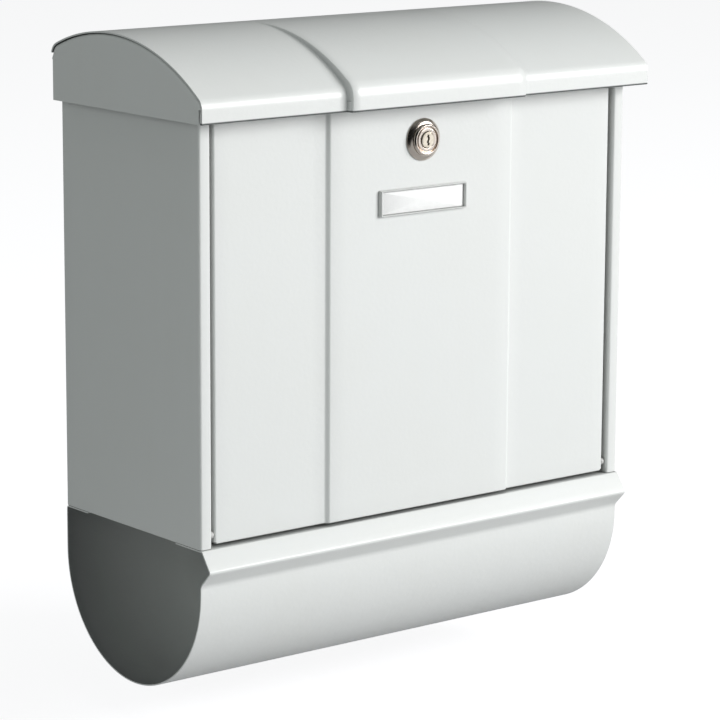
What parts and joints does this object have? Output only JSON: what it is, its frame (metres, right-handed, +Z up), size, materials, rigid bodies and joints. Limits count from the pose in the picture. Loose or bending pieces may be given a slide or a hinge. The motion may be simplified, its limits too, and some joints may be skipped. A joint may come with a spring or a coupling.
{
  "type": "wall mounted mailbox",
  "caption": "White sheet steel wall mailbox with a hinged curved lid over the mail slot, a locked drop-down front door and an open newspaper tube below.",
  "frame": {"origin": "middle of the back face, on the wall plane", "axes": "+Y into the wall, +Z up, +X to the right seen from the front, front faces -Y"},
  "size_m": [0.376, 0.1735, 0.4297],
  "materials": {
    "white_paint": "white powder coat, fine texture, satin",
    "zinc_steel": "zinc plated, dull",
    "black_rubber": "matt moulded rubber",
    "white_nylon": "moulded, satin",
    "grey_plastic": "light grey moulded, satin",
    "paper": "plain white card",
    "clear_plastic": "clear acrylic",
    "nickel": "nickel plated zinc, warm"
  },
  "bodies": {
    "box": {"body_shell": "white_paint", "floor_tray": "white_paint", "cross_rail": "white_paint", "letter_guard": "white_paint", "newspaper_tube": "white_paint", "tube_screw_1": "zinc_steel", "tube_screw_2": "zinc_steel", "tube_screw_3": "zinc_steel", "tube_screw_4": "zinc_steel", "tube_nut_1": "zinc_steel", "tube_nut_2": "zinc_steel", "tube_nut_3": "zinc_steel", "tube_nut_4": "zinc_steel", "guard_rivet_left_1": "zinc_steel", "guard_rivet_left_2": "zinc_steel", "guard_rivet_right_1": "zinc_steel", "guard_rivet_right_2": "zinc_steel", "rod_clip_left": "zinc_steel", "rod_clip_right": "zinc_steel", "lid_hinge_rod": "zinc_steel", "door_pin_left": "zinc_steel", "door_pin_right": "zinc_steel", "lid_buffer_left": "black_rubber", "lid_buffer_right": "black_rubber", "door_washer_left": "white_nylon", "door_washer_right": "white_nylon"},
    "lid": {"lid_sheet": "white_paint", "lid_end_left": "white_paint", "lid_end_right": "white_paint", "lid_bracket_left": "white_paint", "lid_bracket_right": "white_paint"},
    "door": {"door_panel": "white_paint", "nameplate_frame": "grey_plastic", "name_card": "paper", "nameplate_window": "clear_plastic", "lock_rosette": "nickel", "lock_housing": "nickel", "lock_nut": "zinc_steel"},
    "lock": {"lock_plug": "nickel", "lock_cam": "zinc_steel", "cam_screw": "zinc_steel"}
  },
  "joints": [
    {"name": "lid_hinge", "type": "hinge", "parent": "box", "child": "lid", "pos_m": [0, -0.0107, 0.16559], "axis": [-1, 0, 0], "range_deg": [0, 60]},
    {"name": "door_hinge", "type": "hinge", "parent": "box", "child": "door", "pos_m": [0, -0.1495, -0.129], "axis": [1, 0, 0], "range_deg": [0, 110]},
    {"name": "lock_turn", "type": "hinge", "parent": "door", "child": "lock", "pos_m": [0, -0.155, 0.1125], "axis": [0, -1, 0], "range_deg": [0, 90]}
  ]
}
